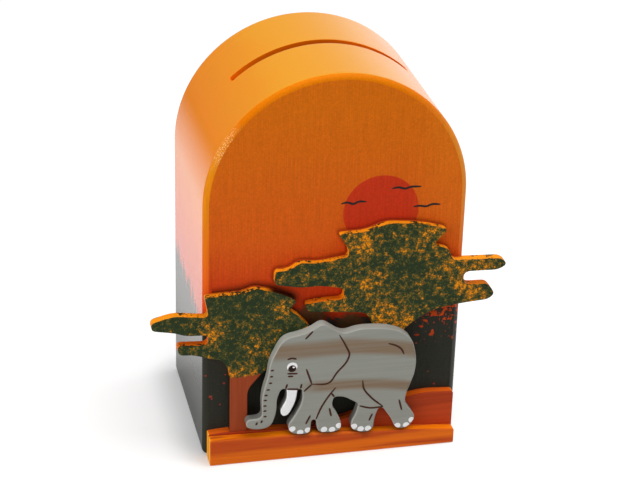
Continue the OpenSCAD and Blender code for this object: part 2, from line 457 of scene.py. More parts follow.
def groundStain(name, node, pale, dark, upper, ends, rings):
    material, tree, surface, place = newMaterial(name)
    grain = turnedGrain(tree, place, (0, math.pi / 2, 0), 1100.0)
    axes = axesOf(tree, place)
    streaks = noise(tree, vectorCalc(tree, "MULTIPLY", place, (0.06, 1, 1)), 420, 4, 0.6)
    wave = noise(tree, vectorCalc(tree, "MULTIPLY", place, (0.3, 1, 1)), 70, 2)
    wave = mulAdd(tree, wave, 0.004, -0.002)
    level = calc(tree, "ADD", axes["Z"], wave)
    mixed = times(tree, ease(tree, streaks, 0.4, 0.7), 0.25)
    for height, wide, widest, thinning in rings:
        away = gapTo(tree, level, height * mm)
        along = gapTo(tree, axes["X"], bodyX + widest * mm)
        away = mulAdd(tree, along, thinning, away)
        ring = ease(tree, away, (wide + 1.0) * mm, (wide - 1.2) * mm)
        mixed = mulAdd(tree, ring, 0.75, mixed, clamp=True)
    front = blend(tree, mixed, pale, dark)
    top = blend(tree, ease(tree, streaks, 0.5, 0.7), upper, dark)
    low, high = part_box(node)
    aside = gapTo(tree, axes["X"], (low.x + high.x) / 2)
    half = (high.x - low.x) / 2
    top = blend(tree, ease(tree, aside, half - 0.5 * mm, half - 0.1 * mm), top, ends)
    wall = ease(tree, attribute(tree, "wall"), 0.0, 0.08)
    color = shaded(tree, blend(tree, wall, front, top), grain["Lines"], 0.12)
    # painted shadow round the elephant's feet
    color = blend(tree, attribute(tree, "paintedShade"), color, groundTone["shadeTone"])
    setSurface(tree, surface, color, 0.4, 0.05)
    setBump(tree, surface, grain["Lines"], 0.00006, 0.5)
    return material


foliage = {
    "sponge": [(0.41, (0.022, 0.036, 0.014)), (0.46, (0.047, 0.060, 0.018)), (0.50, (0.082, 0.082, 0.018)),
               (0.54, (0.16, 0.103, 0.016)), (0.57, (0.30, 0.128, 0.013)), (0.60, (0.52, 0.175, 0.010)),
               (0.65, (0.95, 0.32, 0.006))],
    "edge": (0.90, 0.30, 0.008),
    # painted shade: lower sawn edges redder and darker, tinted by light bounced off the red panel
    "shadedLowEdge": (0.74, 0.165, 0.006),
    "jointShadow": (0.42, 0.045, 0.007),  # rear of the sawn edges, painted dark as the contact shadow on the panel, so that the edges look thinner
    "speck": (0.022, 0.030, 0.012),
    "trunk": (0.36, 0.066, 0.020),
    "bark": (0.20, 0.035, 0.012),
    # painted shade on the trunk's sawn edges
    "shadedBarkEdge": (0.022, 0.015, 0.009),
}
treeLooks = {  # heights, places and radii in mm
    "small_tree": {
        "crownFoot": 41.5,
        "stain": -0.015,
        "edgeHeights": (70, 79),  # between these the sawn edges go from clean to speckled
        "edgeCover": (0.25, 0.42),
        "patches": [(-54, 64, 9), (-42, 44, 10), (-37, 56, 9), (-23, 73, 8)],  # where more of the stain shows
        # painted shade on the sawn edges, where the large tree's branch shadows them
        "shadeSpots": [(-22, 80, 10)],
    },
    "large_tree": {
        "crownFoot": 57.0,
        "stain": 0.008,
        "edgeHeights": (82, 104),
        "edgeCover": (0.18, 0.28),
        "patches": [(10, 101, 11), (41, 102, 10), (51, 90, 9), (66, 88, 10), (19, 87, 7), (14, 79, 9),
                    (57, 79, 9), (63, 72, 8), (0, 72, 9), (21, 68, 9), (30, 62, 8)],
        "shadeSpots": [],
    },
}


def treePaint(name, look):
    material, tree, surface, place = newMaterial(name)
    axes = axesOf(tree, place)
    height = axes["Z"]
    fine = noise(tree, place, 1500, 4, 0.75)
    dabs = noise(tree, place, 520, 3, 0.6)
    broad = noise(tree, place, 90, 2)
    level = mulAdd(tree, fine, 0.62, look["stain"] - 0.288)
    level = mulAdd(tree, dabs, 0.72, mulAdd(tree, broad, 0.12, level))
    foot = look["crownFoot"]
    fringe = ease(tree, height, (foot + 10) * mm, foot * mm)
    level = mulAdd(tree, fringe, 0.05, level)
    for x, z, radius in look["patches"]:
        level = mulAdd(tree, nearSpot(tree, place, x, z, radius, 0.3 * radius), 0.08, level)
    color = ramp(tree, level, foliage["sponge"])
    wall = attribute(tree, "wall")
    clean, speckled = look["edgeHeights"]
    least, most = look["edgeCover"]
    overlap = mulAdd(tree, ease(tree, height, clean * mm, speckled * mm), most - least, least)
    overlap = mulAdd(tree, ease(tree, wall, 0.25, 0.0), 0.20, overlap)
    overlap = mulAdd(tree, minus(tree, noise(tree, place, 60, 2), 0.5), 0.6, overlap)
    specks = useGroup(tree, spongeDabs, Vector=place, Scale=620.0, Cover=overlap, Softness=0.02)["Mask"]
    # lower edges: painted shade
    edge = blend(tree, ease(tree, height, (clean - 10) * mm, clean * mm), foliage["shadedLowEdge"], foliage["edge"])
    edge = blend(tree, specks, edge, foliage["speck"])
    # painted shade on the sawn edges under the large tree's branch
    for x, z, radius in look["shadeSpots"]:
        edge = blend(tree, nearSpot(tree, place, x, z, radius, 0.5 * radius), edge, sunset["shadeTone"])
    aside = gapTo(tree, axes["X"], bodyX)
    onPanel = ease(tree, aside, archR, archR - 2 * mm)
    onPanel = times(tree, onPanel, ease(tree, height, 78 * mm, 84 * mm))
    # painted contact shadow at the rear of the edges, where the tree lies on the panel
    edge = blend(tree, times(tree, ease(tree, wall, 0.62, 0.80), onPanel), edge, foliage["jointShadow"])
    color = blend(tree, ease(tree, wall, 0.0, 0.05), color, edge)
    wave = mulAdd(tree, noise(tree, place, 420, 3), 0.006, (foot - 3) * mm)
    below = ease(tree, minus(tree, wave, height), -0.0003, 0.0003)
    grain = useGroup(tree, woodGrain, Vector=place, Scale=1200.0)
    bark = blend(tree, times(tree, grain["Lines"], 0.4), foliage["trunk"], foliage["bark"])
    # painted shade on the trunk's sawn edges
    bark = blend(tree, ease(tree, wall, 0.0, 0.1), bark, foliage["shadedBarkEdge"])
    setSurface(tree, surface, blend(tree, below, color, bark), 0.5, 0.08)
    setBump(tree, surface, dabs, 0.0001, 0.5)
    return material


hide = {
    "grey": (0.305, 0.31, 0.272),
    "heartwood": (0.225, 0.142, 0.078),
    # painted highlight: lighter grey along the rounded front edge
    "rounding": (0.41, 0.415, 0.375),
    # sawn edges darker towards the foot: painted shade on the lower edges
    "edge": [(0.10, (0.16, 0.155, 0.14)), (0.20, (0.27, 0.265, 0.235)), (0.32, (0.36, 0.36, 0.32)),
             (0.36, (0.41, 0.41, 0.37))],  # by height as a share of the box
    "bands": [(54.4, 3.6, -60), (36.0, 2.6, -12)],  # middle, half width and start in mm
    "fall": 0.0036,  # mm that a band falls, for every square mm to the right of the middle
}


def elephantPaint(name):
    material, tree, surface, place = newMaterial(name)
    grain = turnedGrain(tree, place, (0, math.pi / 2, 0), 900.0)
    axes = axesOf(tree, place)
    right = minus(tree, axes["X"], bodyX)
    bent = calc(tree, "POWER", calc(tree, "MAXIMUM", right, 0.0), 2.0)
    wave = noise(tree, vectorCalc(tree, "MULTIPLY", place, (0.4, 1, 1)), 40, 2)
    wave = mulAdd(tree, wave, 0.003, -0.0015)
    level = mulAdd(tree, bent, hide["fall"] / mm, calc(tree, "ADD", axes["Z"], wave))
    streaks = noise(tree, vectorCalc(tree, "MULTIPLY", place, (0.03, 1, 1)), 620, 3, 0.6)
    color = hide["grey"]
    for middle, half, start in hide["bands"]:
        away = gapTo(tree, level, middle * mm)
        band = ease(tree, away, (half + 1.6) * mm, (half - 1.6) * mm)
        band = times(tree, band, ease(tree, right, (start - 6) * mm, (start + 6) * mm))
        streaky = times(tree, band, mulAdd(tree, ease(tree, streaks, 0.3, 0.7), 0.24, 0.66))
        color = blend(tree, streaky, color, hide["heartwood"])
    color = shaded(tree, color, grain["Lines"], 0.08)
    # painted highlight along the rounded front edge
    color = blend(tree, ease(tree, attribute(tree, "rim"), 0.3, 0.9), color, hide["rounding"])
    # painted shade: sawn edges darker towards the foot
    edge = ramp(tree, calc(tree, "DIVIDE", axes["Z"], bodyH), hide["edge"])
    color = blend(tree, ease(tree, attribute(tree, "wall"), 0.0, 0.15), color, edge)
    setSurface(tree, surface, color, 0.4, 0.15)
    setBump(tree, surface, grain["Lines"], 0.00004, 0.4)
    return material


def brushPaint(name, color, roughness):  # thick paint put on with a fine brush
    material, tree, surface, place = newMaterial(name)
    uneven = noise(tree, place, 900, 2)
    darker = tuple(0.9 * part for part in color)
    setSurface(tree, surface, blend(tree, uneven, color, darker), roughness, 0.1)
    setBump(tree, surface, uneven, 0.00004, 0.5)
    return material


def rubber(name):
    material, tree, surface, place = newMaterial(name)
    dust = noise(tree, place, 160, 4, 0.7)
    tree.links.new(blend(tree, ease(tree, dust, 0.4, 0.8), (0.018, 0.018, 0.018), (0.045, 0.043, 0.040)),
                   surface["Base Color"])
    tree.links.new(mulAdd(tree, dust, 0.3, 0.45), surface["Roughness"])
    setBump(tree, surface, noise(tree, place, 2500, 2), 0.00005, 0.4)
    return material


frontStain = panelStain("frontStain", True)
backStain = panelStain("backStain", False)
wallStain = sideStain("wallStain")
insideWood = plainWood("insideWood", (0, 0, 0))
boardWood = plainWood("boardWood", (0, math.pi / 2, 0))
dowelWood = plainWood("dowelWood", (math.pi / 2, 0, 0))
slotStain = cutStain("slotStain")
frontGroundStain = groundStain("frontGroundStain", "front_ground", groundTone["orange"], groundTone["deep"],
                               groundTone["bright"], groundTone["ends"], frontRings)
rearGroundStain = groundStain("rearGroundStain", "rear_ground", groundTone["deep"], groundTone["shadowed"],
                              groundTone["brown"], groundTone["ends"], rearRings)
smallTreePaint = treePaint("smallTreePaint", treeLooks["small_tree"])
largeTreePaint = treePaint("largeTreePaint", treeLooks["large_tree"])
greyPaint = elephantPaint("greyPaint")
whitePaint = brushPaint("whitePaint", (0.98, 0.98, 0.98), 0.35)
brownLine = brushPaint("brownLine", (0.066, 0.022, 0.013), 0.45)
blackLine = brushPaint("blackLine", (0.018, 0.019, 0.017), 0.45)
irisPaint = brushPaint("irisPaint", (0.048, 0.011, 0.005), 0.45)
pupilPaint = brushPaint("pupilPaint", (0.010, 0.007, 0.005), 0.45)
emberPaint = brushPaint("emberPaint", (0.33, 0.045, 0.026), 0.45)
bungRubber = rubber("bungRubber")
print("finishes made:", len(bpy.data.materials))


# Outlines of the cut-outs

def nodeOutline(node):  # the outline of a node's back face, anticlockwise as seen from the front
    mesh = bmesh.new()
    mesh.from_mesh(nodes[node].data)
    bmesh.ops.remove_doubles(mesh, verts=mesh.verts, dist=weld)
    back = max(v.co.y for v in mesh.verts)
    flat = {f for f in mesh.faces if all(abs(v.co.y - back) < weld for v in f.verts)}
    following = {}
    for face in flat:
        for loop in face.loops:
            others = [f for f in loop.edge.link_faces if f in flat]
            if len(others) == 1:
                following[loop.link_loop_next.vert] = loop.vert
    start = vert = min(following, key=lambda v: (v.co.x, v.co.z))  # the same point on every run
    outline = []
    while True:
        outline.append((vert.co.x, vert.co.z))
        vert = following[vert]
        if vert is start:
            break
    mesh.free()
    return np.array(outline)


def evenLoop(loop, step):
    closed = np.vstack([loop, loop[:1]])
    lengths = np.r_[0, np.cumsum(np.hypot(*np.diff(closed, axis=0).T))]
    marks = np.linspace(0, lengths[-1], int(lengths[-1] / step) + 1)[:-1]
    return np.column_stack([np.interp(marks, lengths, closed[:, axis]) for axis in (0, 1)])


def softenLoop(loop, passes):
    for _ in range(passes):
        loop = (np.roll(loop, 1, axis=0) + 2 * loop + np.roll(loop, -1, axis=0)) / 4
    return loop


def splitLoop(loop, step):  # adds points on long edges and keeps the corners
    made = []
    for a, b in zip(loop, np.roll(loop, -1, axis=0)):
        count = max(1, int(np.hypot(*(b - a)) / step))
        made += [a + (b - a) * i / count for i in range(count)]
    return np.array(made)


def edgeDistance(points, loop):
    nearest = np.full(len(points), 1e9)
    for a, b in zip(loop, np.roll(loop, -1, axis=0)):
        way = b - a
        share = np.clip((points - a) @ way / max(way @ way, 1e-18), 0, 1)
        nearest = np.minimum(nearest, np.hypot(*(points - a - share[:, None] * way).T))
    return nearest


def insideLoop(points, loop):
    inside = np.zeros(len(points), bool)
    for (x0, z0), (x1, z1) in zip(loop, np.roll(loop, -1, axis=0)):
        crosses = (z0 > points[:, 1]) != (z1 > points[:, 1])
        with np.errstate(divide="ignore", invalid="ignore"):
            inside ^= crosses & (points[:, 0] < (x1 - x0) * (points[:, 1] - z0) / (z1 - z0) + x0)
    return inside


def paintedShade(points, loops):  # painted contact shade: 1 beside the outline of a neighbour, 0 out of its reach
    shade = np.zeros(len(points))
    for loop, reach, strength in loops:
        shade = np.maximum(shade, strength * np.clip(1 - edgeDistance(points, loop) / reach, 0, 1) ** 1.5)
    return shade


groundLoops = {node: splitLoop(nodeOutline(node), 1.2 * mm) for node in ("front_ground", "rear_ground")}
treeLoops = {node: softenLoop(evenLoop(nodeOutline(node), 0.5 * mm), 2)
             for node in ("small_tree", "large_tree")}
elephantLoop = softenLoop(evenLoop(nodeOutline("elephant"), 0.45 * mm), 2)


# Pieces

def newPiece(name, points, faces, materials):
    mesh = bpy.data.meshes.new(name)
    mesh.from_pydata([tuple(p) for p in points], [], faces)
    for material in materials:
        mesh.materials.append(material)
    piece = bpy.data.objects.new(name, mesh)
    scene.collection.objects.link(piece)
    return piece


def smooth(piece, degrees=35):
    piece.data.shade_smooth()
    piece.data.set_sharp_from_angle(angle=math.radians(degrees))


def setAttribute(piece, name, values):
    made = piece.data.attributes.new(name, "FLOAT", "POINT")
    made.data.foreach_set("value", np.asarray(values, np.float32))


def dropLoose(piece):
    mesh = bmesh.new()
    mesh.from_mesh(piece.data)
    bmesh.ops.delete(mesh, geom=[v for v in mesh.verts if not v.link_faces], context="VERTS")
    mesh.to_mesh(piece.data)
    mesh.free()


def place(piece, slot, *replaced, body="box"):
    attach(piece, body)
    if replaced:
        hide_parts(*replaced)


panelShape = {
    "rounding": 2.5 * mm,
    "roundSteps": 7,
    "support": 0.35 * mm,  # narrow flat beside the rounding, which keeps the broad face flat
    "archSteps": 96,
    "cornerSteps": 5,
    "spacing": 0.9 * mm,  # between the points that hold the painted shade round the trees
}
# painted contact shade on the front panel round the trees and the elephant: outline, reach and strength
frontPaintedShades = [(treeLoops["small_tree"], 3.6 * mm, 0.95), (treeLoops["large_tree"], 1.8 * mm, 0.60),
              (elephantLoop, 4.5 * mm, 0.90)]


def arcPoints(x, z, radius, start, stop, steps):
    turns = np.radians(np.linspace(start, stop, steps + 1))
    return np.column_stack([x + radius * np.cos(turns), z + radius * np.sin(turns)])


def archLoop(inset):  # the front view of the box, drawn in by inset
    corner = max(panelShape["rounding"], inset)
    left = arcPoints(bodyX - archR + corner, corner, corner - inset, 180, 270, panelShape["cornerSteps"])
    right = arcPoints(bodyX + archR - corner, corner, corner - inset, 270, 360, panelShape["cornerSteps"])
    arch = arcPoints(bodyX, archZ, archR - inset, 0, 180, panelShape["archSteps"])
    return np.vstack([arch, left, right])


def shadePoints(cap):  # points on the front of the panel, close together beside the trees, which hold the painted shade
    spacing = panelShape["spacing"]
    low, high = cap.min(0), cap.max(0)
    columns, rows = (np.arange(low[axis], high[axis], spacing) for axis in (0, 1))
    grid = np.stack(np.meshgrid(columns, rows), -1).reshape(-1, 2)
    grid = grid[insideLoop(grid, cap)]
    grid = grid[edgeDistance(grid, cap) > 0.6 * spacing]
    kept = np.zeros(len(grid), bool)
    for loop, reach, _ in frontPaintedShades:
        kept |= edgeDistance(grid, loop) < reach + 1.5 * spacing
    return grid[kept]


def makePanel(name, node, stain):
    low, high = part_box(node)
    isFront = node == "front_panel"
    inner, outer = (high.y, low.y) if isFront else (low.y, high.y)
    out = -1 if isFront else 1
    radius = panelShape["rounding"]
    rows = [(0, inner, 0), (0, outer - out * (radius + panelShape["support"]), 0)]
    for step in range(panelShape["roundSteps"] + 1):
        turn = math.pi / 2 * step / panelShape["roundSteps"]
        rim = 1 if step < panelShape["roundSteps"] else 0
        rows.append((radius * (1 - math.cos(turn)), outer - out * radius * (1 - math.sin(turn)), rim))
    rows.append((radius + panelShape["support"], outer, 0))
    points, rims, faces, kinds = [], [], [], []
    count = len(archLoop(0))
    onTop = archLoop(0)[:, 1] > archZ + archR / 2  # here the wall's stain runs on over the edge
    for inset, y, rim in rows:
        points += [(x, y, z) for x, z in archLoop(inset)]
        rims += [rim] * count
    for row in range(len(rows) - 1):
        for i in range(count):
            j = (i + 1) % count
            a, b = row * count, (row + 1) * count
            faces.append((a + i, a + j, b + j, b + i))
            kinds.append(1 if row < 2 + onTop[i] else 0)
    faces.append(tuple(reversed(range(count))))
    kinds.append(1)
    start = (len(rows) - 1) * count
    cap = archLoop(rows[-1][0])
    inner = shadePoints(cap) if isFront else np.empty((0, 2))
    made = delaunay_2d_cdt([Vector(p) for p in np.vstack([cap, inner])], [], [list(range(count))], 1, 1e-8)
    points += [(x, outer, z) for x, z in inner]
    rims += [0] * len(inner)
    given = [start + sources[0] for sources in made[3]]
    faces += [tuple(given[i] for i in face) for face in made[2]]
    kinds += [0] * len(made[2])
    piece = newPiece(name, points, faces, [stain, wallStain])
    setAttribute(piece, "rim", rims)
    setAttribute(piece, "paintedShade", paintedShade(np.array(points)[:, [0, 2]], frontPaintedShades if isFront else []))
    piece.data.polygons.foreach_set("material_index", kinds)
    tidyMesh(piece)
    smooth(piece)
    place(piece, "painted_box", node)
    return piece


def tidyMesh(piece):
    mesh = bmesh.new()
    mesh.from_mesh(piece.data)
    bmesh.ops.remove_doubles(mesh, verts=mesh.verts, dist=weld)
    bmesh.ops.recalc_face_normals(mesh, faces=mesh.faces)
    mesh.to_mesh(piece.data)
    mesh.free()


makePanel("frontPanel", "front_panel", frontStain)
makePanel("backPanel", "back_panel", backStain)

slotShape = {
    "angle": 85.0,  # between the ends of the slot, seen from the middle of the arch
    "width": 4.3 * mm,
    "softening": 0.22 * mm,
    "support": 1.0 * mm,  # narrow flat beside the softened lip, which keeps the arch round
}


def frameStations():  # pairs of outer and inner points from the left foot over the arch to the right foot
    corner = panelShape["rounding"]
    steps = panelShape["cornerSteps"]
    foot = arcPoints(archR - corner, corner, corner, 270, 360, steps)
    right = [((bodyX + x, z), (bodyX + innerR, corner * i / steps)) for i, (x, z) in enumerate(foot)]
    half = slotShape["angle"] / 2
    turns = np.linspace(0, 180, panelShape["archSteps"] + 1)
    turns = np.unique(np.append(turns[(abs(abs(turns - 90) - half) > 0.5)], [90 - half, 90 + half]))
    arch = []
    for turn in np.radians(turns):
        way = np.array([math.cos(turn), math.sin(turn)])
        centre = np.array([bodyX, archZ])
        arch.append((tuple(centre + archR * way), tuple(centre + innerR * way)))
    left = [((2 * bodyX - outer[0], outer[1]), (2 * bodyX - inner[0], inner[1]))
            for outer, inner in reversed(right)]
    inSlot = [False] * (len(right) + len(arch) + len(left) - 1)
    for i in range(len(turns) - 1):
        inSlot[len(right) + i] = abs((turns[i] + turns[i + 1]) / 2 - 90) < half
    return right + arch + left, inSlot


def makeFrame(name, node):
    low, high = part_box(node)
    slotMiddle = (panelLow.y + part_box("back_panel")[1].y) / 2
    lips = [slotMiddle - slotShape["width"] / 2, slotMiddle + slotShape["width"] / 2]
    cuts = [lips[0] - slotShape["support"], *lips, lips[1] + slotShape["support"]]
    cuts = [low.y, *[cut for cut in cuts if low.y < cut < high.y], high.y]
    stations, inSlot = frameStations()
    rows = range(len(cuts) - 1)

    def solid(i, row):
        if not (0 <= i < len(inSlot) and 0 <= row < len(cuts) - 1):
            return False
        middle = (cuts[row] + cuts[row + 1]) / 2
        return not (inSlot[i] and lips[0] < middle < lips[1])

    def corner(i, side, row):
        return (i * 2 + side) * len(cuts) + row

    points = [(x, y, z) for pair in stations for x, z in pair for y in cuts]
    faces, kinds = [], []

    def addFace(kind, *corners):
        faces.append([corner(*c) for c in corners])
        kinds.append(kind)

    for i in range(len(inSlot)):
        for row in rows:
            if not solid(i, row):
                continue
            j, up = i + 1, row + 1
            addFace(0, (i, 0, row), (j, 0, row), (j, 0, up), (i, 0, up))
            addFace(1, (i, 1, row), (i, 1, up), (j, 1, up), (j, 1, row))
            for other, edge in ((row - 1, row), (row + 1, up)):
                if not solid(i, other):
                    addFace(2, (i, 0, edge), (i, 1, edge), (j, 1, edge), (j, 0, edge))
            for other, end in ((i - 1, i), (i + 1, j)):
                if not solid(other, row):
                    isFoot = end in (0, len(inSlot))
                    addFace(1 if isFoot else 2, (end, 0, row), (end, 0, up), (end, 1, up), (end, 1, row))
    piece = newPiece(name, points, faces, [wallStain, insideWood, slotStain])
    mesh = bmesh.new()
    mesh.from_mesh(piece.data)
    mesh.faces.ensure_lookup_table()
    for face, kind in zip(mesh.faces, kinds):
        face.material_index = kind
    bmesh.ops.recalc_face_normals(mesh, faces=mesh.faces)
    lipEdges = []
    for edge in mesh.edges:
        middle = sum((v.co for v in edge.verts), Vector()) / 2
        onArch = abs(math.hypot(middle.x - bodyX, middle.z - archZ) - archR) < 0.2 * mm
        apart = edge.calc_face_angle(0) > 1
        inside = lips[0] - 1e-5 < middle.y < lips[1] + 1e-5 and low.y + 1e-5 < middle.y < high.y - 1e-5
        if onArch and apart and inside:
            lipEdges.append(edge)
    if lipEdges:
        bmesh.ops.bevel(mesh, geom=lipEdges, offset=slotShape["softening"], segments=3, profile=0.5,
                        affect="EDGES", material=2)
    loose = [v for v in mesh.verts if not v.link_faces]
    bmesh.ops.delete(mesh, geom=loose, context="VERTS")
    mesh.to_mesh(piece.data)
    mesh.free()
    smooth(piece)
    place(piece, "painted_box", node)
    return piece


for name, node in (("frontFrame", "front_frame"), ("midFrontFrame", "mid_front_frame"),
                   ("midRearFrame", "mid_rear_frame"), ("rearFrame", "rear_frame")):
    makeFrame(name, node)
print("box made")


# Cut-outs of the scene on the front

def fillPoints(loop, spacing, rounding):
    low, high = loop.min(0), loop.max(0)
    rows = np.arange(low[1], high[1], spacing * math.sqrt(3) / 2)
    grid = np.array([(x, z) for i, z in enumerate(rows)
                     for x in np.arange(low[0] + spacing / 2 * (i % 2), high[0], spacing)])
    grid = grid[insideLoop(grid, loop)]
    grid = grid[edgeDistance(grid, loop) > rounding * 1.25 + spacing * 0.4]
    side = np.roll(loop, -1, axis=0) - np.roll(loop, 1, axis=0)
    inward = np.column_stack([-side[:, 1], side[:, 0]]) / np.hypot(*side.T)[:, None]
    rings = [grid]
    for share in (0.07, 0.2, 0.4, 0.68, 1.0, 1.25):
        ring = loop + inward * rounding * share
        ring = ring[insideLoop(ring, loop)]
        rings.append(ring[edgeDistance(ring, loop) > rounding * share * 0.97])
    return np.vstack(rings)


def sinkAt(distance, rounding):  # how far the rounded edge lies behind the front face
    part = np.clip(1 - distance / rounding, 0, 1)
    return rounding * (1 - np.sqrt(np.clip(1 - part ** 2, 0, 1)))


def makeCutOut(name, node, loop, shape, materials, slot, marks=(), paintedShades=()):
    low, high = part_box(node)
    rounding = shape["rounding"]
    flat = [loop, fillPoints(loop, shape["spacing"], rounding)]
    edges, start = [], sum(len(part) for part in flat)
    for mark in marks:
        edges += [(start + i, start + (i + 1) % len(mark)) for i in range(len(mark))]
        start += len(mark)
        flat.append(mark)
    given = [Vector(p) for p in np.vstack(flat)]
    made = delaunay_2d_cdt(given, edges, [list(range(len(loop)))], 1, 1e-8)
    front = np.array([tuple(p) for p in made[0]])
    triangles = np.array([tuple(face) for face in made[2]])
    kept = insideLoop(front[triangles].mean(1), loop)
    triangles = [tuple(int(i) for i in face) for face in triangles[kept]]
    used = set()
    for face in triangles:
        used.update(zip(face, face[1:] + face[:1]))
    border = [(a, b) for a, b in used if (b, a) not in used]
    distance = edgeDistance(front, loop)
    onBorder = {a for a, _ in border}
    distance[list(onBorder)] = 0
    depth = low.y + sinkAt(distance, rounding)
    points = [(x, y, z) for (x, z), y in zip(front, depth)]
    rims = list(np.clip(1 - distance / shape["rimWidth"], 0, 1))
    walls = [0.0] * len(points)
    behind = {}
    for a in onBorder:
        behind[a] = len(points)
        points.append((front[a][0], high.y, front[a][1]))
        rims.append(1.0)
        walls.append(1.0)
    faces = triangles + [(b, a, behind[a], behind[b]) for a, b in border]
    following = dict(border)
    walk = [next(iter(following))]
    while following[walk[-1]] != walk[0]:
        walk.append(following[walk[-1]])
    faces.append(tuple(behind[a] for a in reversed(walk)))
    piece = newPiece(name, points, faces, materials)
    setAttribute(piece, "rim", rims)
    setAttribute(piece, "wall", walls)
    setAttribute(piece, "paintedShade", paintedShade(np.array(points)[:, [0, 2]], paintedShades))
    if marks:
        middles = np.array([front[list(face)].mean(0) for face in triangles])
        painted = np.zeros(len(piece.data.polygons), np.int32)
        for mark in marks:
            painted[:len(triangles)] |= insideLoop(middles, mark)
        piece.data.polygons.foreach_set("material_index", painted)
    dropLoose(piece)
    smooth(piece, 40)
    place(piece, slot, node)
    print(name, len(triangles), "front faces")
    return piece


groundShape = {"rounding": 0.45 * mm, "spacing": 2.5 * mm, "rimWidth": 1.2 * mm}
treeShape = {"rounding": 0.4 * mm, "spacing": 1.6 * mm, "rimWidth": 0.8 * mm}
elephantShape = {"rounding": 0.55 * mm, "spacing": 1.2 * mm, "rimWidth": 0.6 * mm}

for name, node, stain in (("frontGround", "front_ground", frontGroundStain),
                          ("rearGround", "rear_ground", rearGroundStain)):
    # painted shadow on the front ground round the elephant's feet
    feetShadows = [(elephantLoop, 2.2 * mm, 0.95)] if node == "front_ground" else []
    makeCutOut(name, node, groundLoops[node], groundShape, [stain], "ground_stain", paintedShades=feetShadows)
for name, node, paint in (("smallTree", "small_tree", smallTreePaint),
                          ("largeTree", "large_tree", largeTreePaint)):
    makeCutOut(name, node, treeLoops[node], treeShape, [paint], "tree_paint")

elephantMarks = {
    "nails": [(-19.1, 15.2, 30), (-15.5, 13.1, 0), (-12.0, 13.9, -20), (-4.7, 13.4, 15), (-1.0, 13.0, 0),
              (2.1, 14.7, -30), (9.0, 13.5, 30), (12.1, 11.9, 5), (15.5, 11.8, -15), (29.0, 11.8, 10),
              (33.1, 11.7, -5), (35.5, 14.1, -40)],  # x, height and tilt
    "nailSize": (1.5, 1.37),
    "nailSteps": 20,
    "tusk": [(-22.6, 35.9), (-22.6, 34.0), (-26.2, 26.0), (-25.5, 20.5), (-20.2, 20.5), (-16.0, 30.0),
             (-15.8, 35.3)],
}


def onFront(points):
    return np.array([(bodyX + x * mm, z * mm) for x, z in points])


def nailLoop(x, z, tilt):
    wide, tall = elephantMarks["nailSize"]
    turn = math.radians(tilt)
    loop = []
    steps = elephantMarks["nailSteps"]
    for step in range(steps):
        angle = 2 * math.pi * step / steps
        a, b = wide * math.cos(angle), tall * math.sin(angle)
        loop.append((x + a * math.cos(turn) - b * math.sin(turn),
                     z + a * math.sin(turn) + b * math.cos(turn)))
    return onFront(loop)


whiteMarks = [nailLoop(*nail) for nail in elephantMarks["nails"]] + [onFront(elephantMarks["tusk"])]
makeCutOut("elephantCutOut", "elephant", elephantLoop, elephantShape, [greyPaint, whitePaint],
           "elephant_paint", whiteMarks)


# Painted lines

def geo(tree, kind, values=None, **settings):
    return addNode(tree, kind, values, **settings).outputs[0]


def strokeTree():
    tree = bpy.data.node_groups.new("brushStroke", "GeometryNodeTree")
    for label, kind in (("Geometry", "Geometry"), ("Width", "Float"), ("Flatness", "Float"),
                        ("Paint", "Material")):
        tree.interface.new_socket(label, in_out="INPUT", socket_type="NodeSocket" + kind)
    tree.interface.new_socket("Geometry", in_out="OUTPUT", socket_type="NodeSocketGeometry")
    given = addNode(tree, "NodeGroupInput").outputs
    curve = geo(tree, "GeometryNodeMeshToCurve", {"Mesh": given["Geometry"]})
    curve = geo(tree, "GeometryNodeCurveSplineType", {"Curve": curve}, spline_type="CATMULL_ROM")
    curve = geo(tree, "GeometryNodeResampleCurve", {"Curve": curve, "Length": 0.0004}, mode="LENGTH")
    along = addNode(tree, "GeometryNodeSplineParameter").outputs["Factor"]
    middle = calc(tree, "ABSOLUTE", mulAdd(tree, along, 2.0, -1.0))
    taper = minus(tree, 1.0, times(tree, calc(tree, "POWER", middle, 5.0), 0.55))
    width = times(tree, times(tree, given["Width"], 0.5), taper)
    spot = geo(tree, "GeometryNodeInputPosition")
    values = {"Geometry": curve, "Name": "spine", "Value": spot}
    store = geo(tree, "GeometryNodeStoreNamedAttribute", values, data_type="FLOAT_VECTOR", domain="POINT")
    curve = geo(tree, "GeometryNodeSetCurveRadius", {"Curve": store, "Radius": width})
    ring = geo(tree, "GeometryNodeCurvePrimitiveCircle", {"Resolution": 8, "Radius": 1.0})
    values = {"Curve": curve, "Profile Curve": ring, "Fill Caps": True}
    sweep = addNode(tree, "GeometryNodeCurveToMesh", values)
    if "Scale" in sweep.inputs:
        tree.links.new(width, sweep.inputs["Scale"])
    spine = geo(tree, "GeometryNodeInputNamedAttribute", {"Name": "spine"}, data_type="FLOAT_VECTOR")
    lift = vectorCalc(tree, "SUBTRACT", spine, geo(tree, "GeometryNodeInputPosition"))
    squeeze = vectorCalc(tree, "MULTIPLY", lift, (0, 1, 0))
    offset = vectorCalc(tree, "SCALE", squeeze)
    tree.links.new(given["Flatness"], offset.node.inputs["Scale"])
    mesh = geo(tree, "GeometryNodeSetPosition", {"Geometry": sweep.outputs[0], "Offset": offset})
    mesh = geo(tree, "GeometryNodeRealizeInstances", {"Geometry": mesh})
    mesh = geo(tree, "GeometryNodeSetMaterial", {"Geometry": mesh, "Material": given["Paint"]})
    addNode(tree, "NodeGroupOutput", {"Geometry": mesh})
    return tree


brushStroke = strokeTree()
strokeShape = {"flatness": 0.72, "step": 0.8 * mm}


